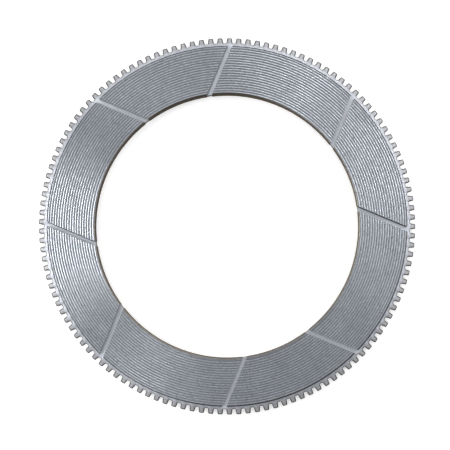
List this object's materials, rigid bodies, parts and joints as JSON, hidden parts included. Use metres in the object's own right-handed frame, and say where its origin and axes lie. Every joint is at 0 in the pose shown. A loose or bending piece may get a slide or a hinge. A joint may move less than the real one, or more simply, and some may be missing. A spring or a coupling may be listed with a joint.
{
  "type": "clutch friction plate",
  "caption": "Flat clutch friction plate: a steel ring with outward teeth round its rim and a grooved friction facing on each side.",
  "frame": {"origin": "on the plate's axis, at the plane that the back facing rests on", "axes": "+Z along the axis, out of the front facing; X and Y in the plane of the plate"},
  "size_m": [0.4032, 0.4032, 0.0063],
  "materials": {
    "core_steel": "blanked and ground, edges dulled by use",
    "friction_facing": "sintered metal, turned and worn bright"
  },
  "bodies": {
    "root": {"core_plate": "core_steel", "front_facing": "friction_facing", "back_facing": "friction_facing"}
  },
  "joints": []
}
